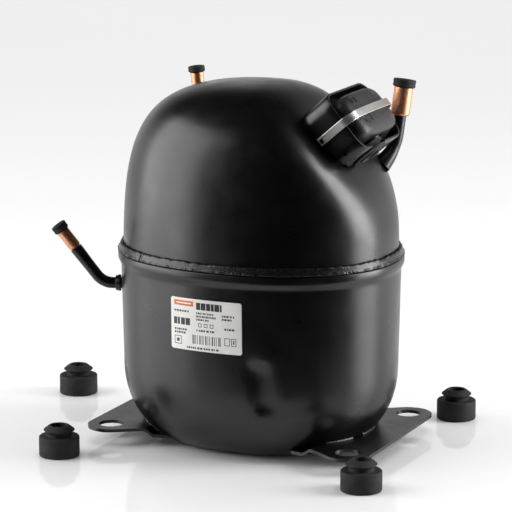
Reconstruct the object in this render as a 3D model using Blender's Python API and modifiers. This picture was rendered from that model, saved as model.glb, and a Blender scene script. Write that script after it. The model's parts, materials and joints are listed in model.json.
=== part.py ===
"""Hermetic reciprocating compressor: a welded steel shell with its mounting feet, tubes and
terminal box, and inside it a sprung pump over an electric motor.

Origin: centre of the flat belly, on the surface the compressor stands on.
+X points to the terminal box, -Y to the rating label, +Z up.
Lengths below are millimetres; the helpers turn them into Blender's metres.
"""
from math import atan2, cos, hypot, pi, radians, sin, sqrt

import bmesh
import bpy
from mathutils import Matrix, Vector

MM = 0.001
GAP = 0.3                       # room left between pieces that touch

# Shell
PLAN_EXPONENT = 2.2             # superellipse of every plan section
WALL = 3.0
LOWER_HALF_X, UPPER_HALF_X = 109.0, 109.0
PLAN_DIFFERENCE = 19.5          # half length less half width
LOWER_FLARE = 0.02              # the drawn wall opens upwards this much per mm
BELLY_RISE, BELLY_FLAT = 58.0, 0.58
LIP_START, LIP_TOP, LIP_HALF_X = 138.0, 150.0, 113.0
UPPER_EDGE = 141.5
DOME_TOP, DOME_BASE, DOME_EXPONENT, DOME_BIAS = 284.0, 98.0, 4.49, -0.404
SHELL_SEGMENTS = 36

# Terminal seat pressed into the dome
SEAT_TILT = radians(49.0)       # between +Z and the seat's outward normal, towards +X
SEAT_CENTRE = Vector((66.0, 0.0, 245.4))
SEAT_NORMAL = Vector((sin(SEAT_TILT), 0.0, cos(SEAT_TILT)))
SEAT_BLEND = 22.0
FENCE_HALF, FENCE_WALL, FENCE_HEIGHT = (25.8, 39.4), 1.8, 27.0
COVER_HALF = (22.8, 36.8)
GLAND_SIDE, GLAND_HEIGHT = -10.5, 15.5   # the cable grommet's axis: along local Y, and above the seat
SPOUT_RADIUS, SPOUT_HEIGHT = 6.8, 20.0

# Feet and rubber mounts
FOOT_THICKNESS, FOOT_UNDERSIDE = 2.5, 11.4
FOOT_STEP = 4.6                 # the arm ends are pressed down this far
HOLE_X, HOLE_Y, HOLE_RADIUS = 100.7, 62.4, 9.7
MOUNT_PLACES = ((-193.2, 57.7), (-118.6, -115.6), (130.0, -105.7), (122.2, 113.0))

# Motor
STATOR_HALF, STATOR_BORE, STATOR_Z = 68.0, 40.0, (62.0, 127.0)
ROTOR_RADIUS = 39.4
WINDING_RADII = (41.0, 54.0)
BOLT_X, BOLT_Y, BOLT_RADIUS = 54.0, 40.0, 3.0

# Pump
SHAFT_RADIUS = 9.7
THROW, ROD_LENGTH, CRANK_ANGLE = 11.5, 50.0, radians(60.0)
PIN_RADIUS, BIG_END_BORE = 8.5, 9.7
PISTON_RADIUS, CYLINDER_RADIUS, CYLINDER_Z = 18.7, 19.0, 196.0
CRANK_PIN = Vector((-THROW * cos(CRANK_ANGLE), -THROW * sin(CRANK_ANGLE), CYLINDER_Z))
WRIST_X = CRANK_PIN.x - sqrt(ROD_LENGTH**2 - CRANK_PIN.y**2)
CYLINDER_END = -(THROW + ROD_LENGTH + 14.4)

# Springs
SPRING_RADIUS, SPRING_WIRE, SPRING_TURNS = 9.0, 1.3, 4.0
SEAT_TOP, SPRING_TOP = 14.0, 59.4


# ---------------------------------------------------------------- scene and helpers

for old in list(bpy.data.objects):
    bpy.data.objects.remove(old, do_unlink=True)

PARTS = bpy.data.collections.new("hermetic_compressor")
CUTTERS = bpy.data.collections.new("cutters")
bpy.context.scene.collection.children.link(PARTS)
bpy.context.scene.collection.children.link(CUTTERS)


def material(name, colour, roughness, metallic=0.0):
    made = bpy.data.materials.new(name)
    made.use_nodes = True
    shader = made.node_tree.nodes["Principled BSDF"]
    shader.inputs["Base Color"].default_value = (*colour, 1.0)
    shader.inputs["Roughness"].default_value = roughness
    shader.inputs["Metallic"].default_value = metallic
    return made


FINISHES = {
    "black_enamel": ((0.012, 0.012, 0.013), 0.32, 0.0),
    "copper": ((0.72, 0.36, 0.22), 0.35, 1.0),
    "rubber": ((0.018, 0.018, 0.019), 0.75, 0.0),
    "moulded_plastic": ((0.022, 0.023, 0.025), 0.42, 0.0),
    "spring_steel": ((0.66, 0.66, 0.66), 0.3, 1.0),
    "label_film": ((0.82, 0.81, 0.78), 0.4, 0.0),
    "cast_iron": ((0.2, 0.2, 0.21), 0.6, 0.8),
    "lamination": ((0.32, 0.33, 0.35), 0.45, 0.9),
    "enamelled_wire": ((0.5, 0.16, 0.05), 0.4, 0.6),
    "aluminium": ((0.75, 0.76, 0.78), 0.4, 1.0),
    "ground_steel": ((0.55, 0.56, 0.58), 0.25, 1.0),
    "gasket": ((0.1, 0.13, 0.11), 0.8, 0.0),
}


def add(name, mesh_or_curve, finish, parent=None, place=(0, 0, 0), turn=(0, 0, 0)):
    """A named object in the parts collection, in its own material."""
    thing = bpy.data.objects.new(name, mesh_or_curve)
    PARTS.objects.link(thing)
    thing.data.materials.append(material(name + "_finish", *FINISHES[finish]))
    thing.parent = parent
    thing.location = Vector(place) * MM
    thing.rotation_euler = turn
    return thing


def axis_empty(name, place, turn=(0, 0, 0), parent=None):
    """An empty on a joint's axis or at a local frame's origin."""
    empty = bpy.data.objects.new(name, None)
    empty.empty_display_size = 10 * MM
    PARTS.objects.link(empty)
    empty.parent = parent
    empty.location = Vector(place) * MM
    empty.rotation_euler = turn
    bpy.context.view_layer.update()
    return empty


def cutter(name, mesh, parent=None, place=(0, 0, 0), turn=(0, 0, 0)):
    tool = bpy.data.objects.new(name, mesh)
    CUTTERS.objects.link(tool)
    tool.parent = parent
    tool.location = Vector(place) * MM
    tool.rotation_euler = turn
    tool.hide_render = True
    tool.display_type = "WIRE"
    return tool


def combine(thing, tool, operation="DIFFERENCE"):
    step = thing.modifiers.new(tool.name, "BOOLEAN")
    step.operation = operation
    step.object = tool
    step.solver = "EXACT"


def rounded(thing, width, segments=2):
    step = thing.modifiers.new("edges", "BEVEL")
    step.width = width * MM
    step.segments = segments
    step.limit_method = "ANGLE"
    step.angle_limit = radians(50)


def to_mesh(name, bm, smooth=True):
    bmesh.ops.recalc_face_normals(bm, faces=bm.faces)
    mesh = bpy.data.meshes.new(name)
    bm.to_mesh(mesh)
    bm.free()
    if smooth:
        mesh.shade_smooth()
        mesh.set_sharp_from_angle(angle=radians(35))
    return mesh


def cylinder(name, radius, low, high, segments=24, end_radius=None):
    """Mesh of an upright cylinder or cone on the local Z axis."""
    bm = bmesh.new()
    bmesh.ops.create_cone(
        bm, cap_ends=True, segments=segments, depth=(high - low) * MM,
        radius1=radius * MM, radius2=(radius if end_radius is None else end_radius) * MM,
        matrix=Matrix.Translation((0, 0, (low + high) / 2 * MM)))
    return to_mesh(name, bm)


def box(name, low, high):
    bm = bmesh.new()
    middle = (Vector(low) + Vector(high)) / 2 * MM
    size = (Vector(high) - Vector(low)) * MM
    bmesh.ops.create_cube(bm, size=1.0, matrix=Matrix.Translation(middle) @ Matrix.Diagonal((*size, 1)))
    return to_mesh(name, bm, smooth=False)


def turned(name, profile, finish, segments=20, closed=False, **where):
    """A solid of revolution about local Z; the profile of (radius, z) runs down the outer side."""
    mesh = bpy.data.meshes.new(name)
    points = [(r * MM, 0, z * MM) for r, z in profile]
    edges = [(i, i + 1) for i in range(len(points) - 1)]
    if closed:
        edges.append((len(points) - 1, 0))
    mesh.from_pydata(points, edges, [])
    thing = add(name, mesh, finish, **where)
    step = thing.modifiers.new("turn", "SCREW")
    step.steps = step.render_steps = segments
    step.use_merge_vertices = True
    step.merge_threshold = 0.00001
    step.use_smooth_shade = True
    return thing


def plate(name, outline, thickness, finish, holes=(), **where):
    """A flat piece: its outline in local XY, its thickness centred on local Z."""
    curve = bpy.data.curves.new(name, "CURVE")
    curve.dimensions = "2D"
    curve.fill_mode = "BOTH"
    curve.extrude = thickness / 2 * MM
    for loop in (outline, *holes):
        spline = curve.splines.new("POLY")
        spline.points.add(len(loop) - 1)
        for point, (x, y) in zip(spline.points, loop):
            point.co = (x * MM, y * MM, 0, 1)
        spline.use_cyclic_u = True
    return add(name, curve, finish, **where)


def as_mesh(thing):
    """A curve made a mesh with its caps welded, so that it can be cut."""
    bpy.context.view_layer.update()
    evaluated = thing.evaluated_get(bpy.context.evaluated_depsgraph_get())
    mesh = bpy.data.meshes.new_from_object(evaluated)
    bm = bmesh.new()
    bm.from_mesh(mesh)
    bmesh.ops.remove_doubles(bm, verts=bm.verts, dist=0.00001)
    bmesh.ops.recalc_face_normals(bm, faces=bm.faces)
    bm.to_mesh(mesh)
    bm.free()
    name, matrix = thing.name, thing.matrix_world.copy()
    bpy.data.objects.remove(thing)
    made = bpy.data.objects.new(name, mesh)
    PARTS.objects.link(made)
    made.matrix_world = matrix
    return made


def filleted(corners, radius, steps=4):
    """Points along straight runs joined by arcs of one bend radius."""
    path = [Vector(corners[0])]
    for before, corner, after in zip(corners, corners[1:], corners[2:]):
        corner = Vector(corner)
        back, ahead = (Vector(before) - corner).normalized(), (Vector(after) - corner).normalized()
        half = back.angle(ahead) / 2
        reach = radius * cos(half) / sin(half)
        centre = corner + (back + ahead).normalized() * (radius / sin(half))
        start = corner + back * reach - centre
        turn = (corner + back * reach - centre).rotation_difference(corner + ahead * reach - centre)
        axis, angle = turn.to_axis_angle()
        path += [centre + Matrix.Rotation(angle * i / steps, 3, axis) @ start for i in range(steps + 1)]
    return path + [Vector(corners[-1])]


def rod(name, path, radius, finish, resolution=2, **where):
    """A round wire or tube with closed ends along a list of points."""
    curve = bpy.data.curves.new(name, "CURVE")
    curve.dimensions = "3D"
    curve.bevel_depth = radius * MM
    curve.bevel_resolution = resolution
    curve.use_fill_caps = True
    spline = curve.splines.new("POLY")
    spline.points.add(len(path) - 1)
    for point, at in zip(spline.points, path):
        point.co = (*(Vector(at) * MM), 1)
    return add(name, curve, finish, **where)


def aimed(direction):
    """Rotation that takes +Z to a direction."""
    return Vector((0, 0, 1)).rotation_difference(Vector(direction)).to_euler()


def plan(half_x, half_y, angle, exponent=PLAN_EXPONENT):
    """Point of a superellipse in plan."""
    c, s = cos(angle), sin(angle)
    x = half_x * abs(c) ** (2 / exponent) * (1 if c >= 0 else -1)
    y = half_y * abs(s) ** (2 / exponent) * (1 if s >= 0 else -1)
    return x, y


def loft(name, rings, segments, exponent=PLAN_EXPONENT, shape=None):
    """Closed surface through superellipse rings (half_x, half_y, z); a ring of no size is a pole."""
    bm = bmesh.new()
    rows = []
    for half_x, half_y, z in rings:
        count = segments if half_x > 0 else 1
        row = []
        for i in range(count):
            x, y = plan(half_x, half_y, 2 * pi * i / segments, exponent)
            point = Vector((x, y, z))
            row.append(bm.verts.new((shape(point) if shape else point) * MM))
        rows.append(row)
    whole_loop = len(rows[0]) > 1 and len(rows[-1]) > 1
    pairs = list(zip(rows, rows[1:])) + ([(rows[-1], rows[0])] if whole_loop else [])
    for one, two in pairs:
        if len(one) + len(two) == segments + 1 and abs(one[0].co.z - two[0].co.z) < 1e-6:
            bm.faces.new(one if len(one) > 1 else two)      # flat end: one face, and no pole
            continue
        for i in range(segments):
            j = (i + 1) % segments
            corners = [one[i % len(one)], one[j % len(one)], two[j % len(two)], two[i % len(two)]]
            bm.faces.new(list(dict.fromkeys(corners)))
    loose = [v for v in bm.verts if not v.link_faces]
    bmesh.ops.delete(bm, geom=loose, context="VERTS")
    return to_mesh(name, bm)


def arc(centre, radius, start, stop, steps):
    """Points on an arc, angles in degrees."""
    angles = [radians(start + (stop - start) * i / steps) for i in range(steps + 1)]
    return [(centre[0] + radius * cos(a), centre[1] + radius * sin(a)) for a in angles]


def ribbon(path, thickness):
    """Outline of a strip of even thickness that follows a path in a plane."""
    left, right = [], []
    for i, (x, y) in enumerate(path):
        before, after = path[max(i - 1, 0)], path[min(i + 1, len(path) - 1)]
        dx, dy = after[0] - before[0], after[1] - before[1]
        size = hypot(dx, dy) / (thickness / 2)
        left.append((x - dy / size, y + dx / size))
        right.append((x + dy / size, y - dx / size))
    return left + right[::-1]


# ---------------------------------------------------------------- shell

def wall_ring(z, inset=0.0):
    """Half sizes of the lower shell's wall, above its rounded rim, at height z."""
    half_x = LOWER_HALF_X + LOWER_FLARE * (z - BELLY_RISE) - inset
    return half_x, half_x - PLAN_DIFFERENCE, z


def belly_rings(inset=0.0):
    """Rings of the rounded rim, from the flat belly up to the wall, moved inwards by the inset."""
    rings = []
    for angle in (radians(a) for a in (90, 72, 54, 36, 18)):
        half_x, half_y, _ = wall_ring(BELLY_RISE * (1 - sin(angle)))
        share = BELLY_FLAT + (1 - BELLY_FLAT) * cos(angle)
        z = BELLY_RISE * (1 - sin(angle)) + inset * sin(angle)
        rings.append((half_x * share - inset * cos(angle), half_y * share - inset * cos(angle), z))
    return rings + [wall_ring(BELLY_RISE, inset)]


def dome_ring(share, inset=0.0):
    """Ring of the dome where its plan is this share of the full size."""
    reach = ((share - DOME_BIAS) / (1 - DOME_BIAS)) ** DOME_EXPONENT
    z = DOME_BASE + (DOME_TOP - DOME_BASE - inset) * (1 - reach) ** (1 / DOME_EXPONENT)
    half_x = (UPPER_HALF_X - inset) * share
    half_y = (UPPER_HALF_X - PLAN_DIFFERENCE - inset) * share
    return half_x, half_y, z


def seat_press(inset=0.0):
    """Presses whatever stands beyond the seat's plane back to it, with a soft edge."""
    level = SEAT_NORMAL.dot(SEAT_CENTRE) - inset

    def press(point):
        beyond = SEAT_NORMAL.dot(point) - level
        mix = min(max(0.5 - 0.5 * beyond / SEAT_BLEND, 0.0), 1.0)
        kept = beyond * mix - SEAT_BLEND * mix * (1 - mix)
        return point + SEAT_NORMAL * (kept - beyond)

    return press


def make_lower_shell():
    lip = LIP_HALF_X - PLAN_DIFFERENCE
    outer = belly_rings() + [wall_ring(100), wall_ring(LIP_START)]
    rim = [(LIP_HALF_X - 1.0, lip - 1.0, LIP_START + 4), (LIP_HALF_X, lip, LIP_TOP - 4),
           (LIP_HALF_X, lip, LIP_TOP)]
    mouth = UPPER_HALF_X + GAP
    step = [(mouth, mouth - PLAN_DIFFERENCE, LIP_TOP), (mouth, mouth - PLAN_DIFFERENCE, UPPER_EDGE - GAP)]
    inner = [wall_ring(UPPER_EDGE - GAP, WALL)] + belly_rings(WALL)[::-1]
    rings = [(0, 0, 0)] + outer + rim + step + inner + [(0, 0, WALL)]
    shell = add("lower_shell", loft("lower_shell", rings, SHELL_SEGMENTS), "black_enamel")
    hole = cutter("process_bore", cylinder("process_bore", 5.2, -14, 14), turn=aimed(PROCESS_WAY),
                  place=PROCESS_ROOT)
    combine(shell, hole)
    return shell


def make_upper_shell():
    shares = (1.0, 0.99, 0.965, 0.93, 0.88, 0.8, 0.7, 0.57, 0.4, 0.2)
    edge = (UPPER_HALF_X, UPPER_HALF_X - PLAN_DIFFERENCE, UPPER_EDGE)
    outer = [edge, (edge[0], edge[1], 172)] + [dome_ring(s) for s in shares[1:]] + [(0, 0, DOME_TOP)]
    inner = [(edge[0] - WALL, edge[1] - WALL, UPPER_EDGE), (edge[0] - WALL, edge[1] - WALL, 172)]
    inner += [dome_ring(s, WALL) for s in shares[2::2]] + [(0, 0, DOME_TOP - WALL)]
    press, press_inside = seat_press(), seat_press(WALL)
    bm = bmesh.new()
    for rings, pressed in ((outer, press), (inner, press_inside)):
        skin = loft("skin", rings, SHELL_SEGMENTS, shape=pressed)
        bm.from_mesh(skin)
        bpy.data.meshes.remove(skin)
    lower = [v for v in bm.verts if abs(v.co.z - UPPER_EDGE * MM) < 1e-6]
    half = len(lower) // 2
    for i in range(half):
        j = (i + 1) % half
        bm.faces.new((lower[i], lower[j], lower[half + j], lower[half + i]))
    shell = add("upper_shell", to_mesh("upper_shell", bm), "black_enamel")
    for name, root, way, radius in (("suction_bore", SUCTION_PATH[0], SUCTION_WAY, 5.3),
                                    ("discharge_bore", DISCHARGE_FOOT, DISCHARGE_WAY, 4.8)):
        combine(shell, cutter(name, cylinder(name, radius, -16, 22), place=root, turn=aimed(way)))
    combine(shell, cutter("terminal_bore", cylinder("terminal_bore", 17, -12, 12),
                          parent=SEAT_FRAME))
    return shell


def make_girth_weld():
    """Bead of filler that closes the gap between the upper shell and the lip of the lower one."""
    inside = UPPER_HALF_X + GAP
    section = ((inside, 156.4), (111.0, 157.2), (112.8, 155.6), (113.4, 153.2), (112.8, LIP_TOP + GAP),
               (inside, LIP_TOP + GAP))
    rings = [(x, x - PLAN_DIFFERENCE, z) for x, z in section]
    return add("girth_weld", loft("girth_weld", rings, SHELL_SEGMENTS), "black_enamel")


# ---------------------------------------------------------------- feet and rubber mounts

def make_feet():
    """Two C-shaped plates that wrap the ends of the shell, each with two holes."""
    corner = arc((HOLE_X, HOLE_Y), 18.4, 0, 118, 6)
    half = corner + [(71.5, 65.0), (52.0, 60.5), (44.0, 52.0)]
    outline = [(x, -y) for x, y in half[::-1]] + half
    holes = [arc((HOLE_X, side * HOLE_Y), HOLE_RADIUS, 0, 345, 23) for side in (-1, 1)]
    room = belly_rings(-1.5 * GAP)
    rings = [(0, 0, room[0][2])] + room + [(0, 0, BELLY_RISE)]
    belly = cutter("belly_room", loft("belly_room", rings, SHELL_SEGMENTS))
    for name, facing in (("foot_bracket_right", 1), ("foot_bracket_left", -1)):
        flat = plate(name, outline, FOOT_THICKNESS, "black_enamel", holes=holes,
                     place=(0, 0, FOOT_UNDERSIDE + FOOT_THICKNESS / 2),
                     turn=(0, 0, 0 if facing > 0 else pi))
        foot = as_mesh(flat)
        bm = bmesh.new()
        bm.from_mesh(foot.data)
        for x in (70.5, 63.5):
            cut = list(bm.verts) + list(bm.edges) + list(bm.faces)
            bmesh.ops.bisect_plane(bm, geom=cut, plane_co=(x * MM, 0, 0), plane_no=(1, 0, 0))
        for vert in bm.verts:
            if vert.co.x < 64 * MM:
                vert.co.z -= FOOT_STEP * MM
        bmesh.ops.triangulate(bm, faces=bm.faces)
        bm.to_mesh(foot.data)
        bm.free()
        combine(foot, belly)


def make_rubber_mounts():
    """Four loose mounts standing by the feet they belong to."""
    profile = ((6.2, 24), (7.5, 24), (12, 20.4), (9.5, 18.8), (9.5, 15.5), (16, 15.5), (16, 0), (6.2, 0))
    for number, (x, y) in enumerate(MOUNT_PLACES, 1):
        turned(f"mount_grommet_{number}", profile, "rubber", segments=18, closed=True, place=(x, y, 0))


# ---------------------------------------------------------------- tubes with copper ends and caps

SUCTION_PATH = [Vector(p) for p in ((84.5, 40.5, 217), (91.8, 51.0, 230.5), (93.9, 54.4, 254.5))]
SUCTION_WAY = SUCTION_PATH[1] - SUCTION_PATH[0]
DISCHARGE_FOOT = Vector((-71.4, 40.0, 255.0))
DISCHARGE_WAY = Vector((-0.09, -0.03, 1.0)).normalized()
PROCESS_ROOT = Vector((-101.0, -27.5, 120.0))
PROCESS_WAY = Vector((-0.91, -0.415, 0.0)).normalized()
PROCESS_RISE = (PROCESS_WAY * 0.602 + Vector((0, 0, 0.799))).normalized()


def make_tube_end(name, seat, way, outer, inner, length, cap_radius, cap_height):
    """Copper socket and the rubber cap that plugs it, both along the tube's axis."""
    turn = aimed(way)
    socket = ((0, 2.5), (inner, 2.5), (inner, length), (outer, length), (outer, 1.2), (outer - 1.2, 0),
              (0, 0))
    turned(f"{name}_stub", socket, "copper", segments=20, place=seat, turn=turn)
    plug = inner - GAP
    brim = length + GAP
    top = brim + cap_height
    cap = ((0, top - 1.2), (cap_radius * 0.62, top - 1.2), (cap_radius * 0.72, top), (cap_radius - 0.6, top),
           (cap_radius, top - 0.6), (cap_radius, brim + 0.5), (cap_radius - 0.5, brim), (plug, brim),
           (plug, length - 4.0), (0, length - 4.0))
    turned(f"{name}_cap", cap, "rubber", segments=20, place=seat, turn=turn)


def make_tubes():
    rod("suction_tube", filleted(SUCTION_PATH, 16), 4.6, "black_enamel")
    way = (SUCTION_PATH[2] - SUCTION_PATH[1]).normalized()
    make_tube_end("suction", SUCTION_PATH[2] + way * GAP, way, 7.5, 6.3, 22.0, 8.9, 6.2)
    neck = DISCHARGE_FOOT + DISCHARGE_WAY * 11.0
    rod("discharge_tube", [DISCHARGE_FOOT, neck], 4.2, "black_enamel")
    make_tube_end("discharge", neck + DISCHARGE_WAY * GAP, DISCHARGE_WAY, 5.25, 4.25, 14.0, 6.7, 4.6)
    elbow = PROCESS_ROOT + PROCESS_WAY * 21.0
    end = elbow + PROCESS_RISE * 35.2
    rod("process_tube", filleted([PROCESS_ROOT - PROCESS_WAY * 3, elbow, end], 16), 4.5, "black_enamel")
    make_tube_end("process", end + PROCESS_RISE * GAP, PROCESS_RISE, 5.0, 3.9, 17.0, 6.3, 6.0)
    collar = ((4.8, 4.4), (5.7, 4.4), (6.6, 1.2), (6.6, 0), (4.8, 0))
    turned("process_ferrule", collar, "black_enamel", segments=20, closed=True,
           place=PROCESS_ROOT + PROCESS_WAY * 6.8, turn=aimed(PROCESS_WAY))


# ---------------------------------------------------------------- terminal box, in the seat's frame
# Local X runs down the slope, local Y along the row's Y, local Z out of the seat.

def make_fence():
    rings = [(FENCE_HALF[0], FENCE_HALF[1], FENCE_HEIGHT), (FENCE_HALF[0], FENCE_HALF[1], GAP),
             (FENCE_HALF[0] - FENCE_WALL, FENCE_HALF[1] - FENCE_WALL, GAP),
             (FENCE_HALF[0] - FENCE_WALL, FENCE_HALF[1] - FENCE_WALL, FENCE_HEIGHT)]
    fence = add("terminal_fence", loft("terminal_fence", rings, 36, exponent=6.0), "black_enamel",
                parent=SEAT_FRAME)
    notch = cutter("gland_notch", cylinder("gland_notch", 12.4, 18, 40, segments=28), parent=SEAT_FRAME,
                   place=(0, GLAND_SIDE, GLAND_HEIGHT), turn=(0, pi / 2, 0))
    mouth = box("gland_mouth", (18, GLAND_SIDE - 12.4, GLAND_HEIGHT), (40, GLAND_SIDE + 12.4, 40))
    mouth = cutter("gland_mouth", mouth, parent=SEAT_FRAME)
    combine(fence, notch)
    combine(fence, mouth)


def make_cover():
    """Crowned plastic lid inside the fence, open at the grommet and with a short round spout."""
    x, y = COVER_HALF
    outer = [(0, 0, 36.6), (x - 11, y - 10, 36.0), (x - 7, y - 5.5, 34.0), (x - 4.6, y - 3.4, 31.0),
             (x - 3.4, y - 2.4, 27), (x, y, 15)]
    inner = [(x - 2, y - 2, 15), (x - 6, y - 5, 27), (x - 9.5, y - 8, 32.0), (0, 0, 34.2)]
    cover = add("terminal_cover", loft("terminal_cover", outer + inner, 36, exponent=4.5),
                "moulded_plastic", parent=COVER_FRAME)
    room = box("gland_room", (19, GLAND_SIDE - 15.6, 8), (30, GLAND_SIDE + 15.6, 30.4))
    spout = cutter("cover_spout", cylinder("cover_spout", SPOUT_RADIUS, 16.0, 21.0, 24),
                   parent=COVER_FRAME, place=(0, 0, SPOUT_HEIGHT), turn=(0, pi / 2, 0))
    combine(cover, cutter("gland_room", room, parent=COVER_FRAME))
    combine(cover, spout, "UNION")


def make_clip():
    """Spring-steel strap hooked on the fence's front wall and bowed over the cover."""
    path = [(-40.6, 1.6), (-40.6, 27.4), (-39.0, 30.8), (-36.2, 34.0), (-32, 36.4), (-22, 37.4), (0, 37.9),
            (22, 37.4), (32, 36.4), (36.4, 34.2), (40.2, 30.8), (41.8, 27.2), (43.4, 25.8), (45.2, 27.0)]
    strap = [(v + CLIP_PIVOT_V, w - CLIP_PIVOT_W) for v, w in path]
    plate("cover_clip", ribbon(strap, 0.8), 6.4, "spring_steel", parent=CLIP_FRAME, turn=(pi / 2, 0, pi / 2))


def make_gland():
    """Stepped rubber cable grommet with its knock-out membrane still closed."""
    inside = -FENCE_WALL - 2 * GAP
    profile = ((0, 2.2), (7.4, 2.2), (7.8, 3.2), (9.3, 3.2), (9.3, 2.2), (14.8, 1.8), (14.8, GAP), (12, GAP),
               (12, inside), (14.4, inside), (14.4, -4.2), (0, -4.2))
    turned("cable_grommet", profile, "rubber", segments=24, parent=SEAT_FRAME,
           place=(FENCE_HALF[0], GLAND_SIDE, GLAND_HEIGHT), turn=(0, pi / 2, 0))


def make_terminal():
    """Glass-sealed feed-through in the shell, its three pins and the block that plugs on them."""
    profile = ((0, 2.4), (16.7, 2.4), (16.7, -4), (14.9, -4), (14.9, -1), (0, -1))
    disc = turned("hermetic_terminal", profile, "ground_steel", segments=24, parent=SEAT_FRAME)
    block = box("terminal_block", (-16, -15, 6.0), (16, 15, 15.5))
    block = add("terminal_block", block, "moulded_plastic", parent=SEAT_FRAME)
    rounded(block, 1.5)
    for number in range(3):
        angle = 2 * pi * number / 3
        at = (8.5 * cos(angle), 8.5 * sin(angle), 0)
        hole = cutter(f"pin_hole_{number + 1}", cylinder("pin_hole", 1.9, -8, 13.5, segments=10),
                      parent=SEAT_FRAME, place=at)
        add(f"terminal_pin_{number + 1}", cylinder("terminal_pin", 1.55, -13, 13, segments=10),
            "ground_steel", parent=SEAT_FRAME, place=at)
        combine(disc, hole)
        combine(block, hole)


def make_label():
    """Printed film wrapped on the front of the lower shell."""
    columns, left, width, low, high = 12, -35.2, 60.4, 87.6, 128.4
    bm = bmesh.new()
    rows = []
    for z in (low, high):
        half_x, half_y, _ = wall_ring(z)
        row = []
        for i in range(columns + 1):
            x = left + width * i / columns
            y = -half_y * (1 - (abs(x) / half_x) ** PLAN_EXPONENT) ** (1 / PLAN_EXPONENT)
            row.append(bm.verts.new(Vector((x, y - 0.6, z)) * MM))
        rows.append(row)
    for i in range(columns):
        bm.faces.new((rows[0][i], rows[0][i + 1], rows[1][i + 1], rows[1][i]))
    label = add("rating_label", to_mesh("rating_label", bm), "label_film")
    film = label.modifiers.new("film", "SOLIDIFY")
    film.thickness = 0.3 * MM
    film.offset = 1.0


# ---------------------------------------------------------------- motor

def ring_solid(name, inner, outer, low, high, finish, segments=24, **where):
    profile = ((outer - 1, high), (outer, high - 1), (outer, low + 1), (outer - 1, low), (inner, low),
               (inner, high))
    return turned(name, profile, finish, segments=segments, closed=True, **where)


def make_motor():
    half, (low, high) = STATOR_HALF, STATOR_Z
    rings = [(0, 0, low), (half, half, low), (half, half, high), (0, 0, high)]
    stator = add("stator_core", loft("stator_core", rings, 28, exponent=3.0), "lamination", parent=PUMP)
    bore = cylinder("stator_bore", STATOR_BORE, low - 2, high + 2, 24)
    combine(stator, cutter("stator_bore", bore, parent=PUMP))
    for tool in BOLT_HOLES:
        combine(stator, tool)
    ring_solid("winding_lower", *WINDING_RADII, 40, low - GAP, "enamelled_wire", parent=PUMP)
    ring_solid("winding_upper", *WINDING_RADII, high + GAP, 148, "enamelled_wire", parent=PUMP)
    ring_solid("rotor_core", SHAFT_RADIUS + GAP, ROTOR_RADIUS, low - 2, high + 1, "lamination", parent=CRANK)
    weight = arc((0, 0), 37, -40, 100, 10) + arc((0, 0), 20, 100, -40, 8)
    plate("rotor_counterweight", weight, 4.6, "ground_steel", parent=CRANK, place=(0, 0, high + 3.7))
    for number, (x, y) in enumerate(CORNERS, 1):
        bolt = cylinder("stator_bolt", BOLT_RADIUS, 58, 150, segments=12)
        bolt = add(f"stator_bolt_{number}", bolt, "ground_steel", parent=PUMP, place=(x, y, 0))
        washer = cutter(f"bolt_washer_{number}", cylinder("bolt_washer", 9.5, 59.7, low - GAP, segments=16),
                        parent=PUMP, place=(x, y, 0))
        peg = cutter(f"bolt_peg_{number}", cylinder("bolt_peg", 4.6, 48, 60.5, segments=16, end_radius=6.2),
                     parent=PUMP, place=(x, y, 0))
        combine(bolt, washer, "UNION")
        combine(bolt, peg, "UNION")


# ---------------------------------------------------------------- pump

def make_cylinder_block():
    """Iron casting: bearing hub, frame plate, four legs down to the stator and the cylinder barrel."""
    frame = [(0, 0, 152), (65, 58, 152), (65, 58, 163), (0, 0, 163)]
    block = add("cylinder_block", loft("cylinder_block", frame, 28, exponent=3.0), "cast_iron", parent=PUMP)
    hub = cutter("bearing_hub", cylinder("bearing_hub", 16, 134, 177), parent=PUMP)
    barrel = cutter("barrel", cylinder("barrel", 26, 30, -CYLINDER_END - GAP, 24), parent=PUMP,
                    place=(0, 0, CYLINDER_Z), turn=(0, -pi / 2, 0))
    saddle = box("barrel_saddle", (CYLINDER_END + 8, -20, 160), (-32, 20, CYLINDER_Z))
    saddle = cutter("barrel_saddle", saddle, parent=PUMP)
    combine(block, hub, "UNION")
    combine(block, saddle, "UNION")
    combine(block, barrel, "UNION")
    for number, (x, y) in enumerate(CORNERS, 1):
        leg = cylinder("leg", 8, STATOR_Z[1] + GAP, 154, 14)
        combine(block, cutter(f"leg_{number}", leg, parent=PUMP, place=(x, y, 0)), "UNION")
    bore = cutter("cylinder_bore", cylinder("cylinder_bore", CYLINDER_RADIUS, 20, 90, 24), parent=PUMP,
                  place=(0, 0, CYLINDER_Z), turn=(0, -pi / 2, 0))
    journal = cutter("journal_bore", cylinder("journal_bore", SHAFT_RADIUS + GAP, 120, 190), parent=PUMP)
    for tool in (bore, journal, *BOLT_HOLES):
        combine(block, tool)


def make_crank():
    shaft = add("crankshaft", cylinder("crankshaft", SHAFT_RADIUS, 40, 177.6), "ground_steel", parent=CRANK)
    pin_angle = atan2(CRANK_PIN.y, CRANK_PIN.x)
    lobe = arc((0, 0), 24, 100, 260, 12) + arc((THROW, 0), 13, -60, 60, 6)
    web = plate("crank_web", lobe, 7.6, "ground_steel", parent=CRANK, place=(0, 0, 181.3),
                turn=(0, 0, pin_angle))
    web = as_mesh(web)
    PARTS.objects.unlink(web)
    CUTTERS.objects.link(web)
    web.hide_render = True
    web.display_type = "WIRE"
    pin = cutter("crank_pin", cylinder("crank_pin", PIN_RADIUS, 184, 205), parent=CRANK,
                 place=(CRANK_PIN.x, CRANK_PIN.y, 0))
    combine(shaft, web, "UNION")
    combine(shaft, pin, "UNION")
    straw = ((0, 39.6), (6, 39.6), (6, 30), (4, 13), (0, 13))
    turned("oil_pickup", straw, "aluminium", segments=14, parent=CRANK)


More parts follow.
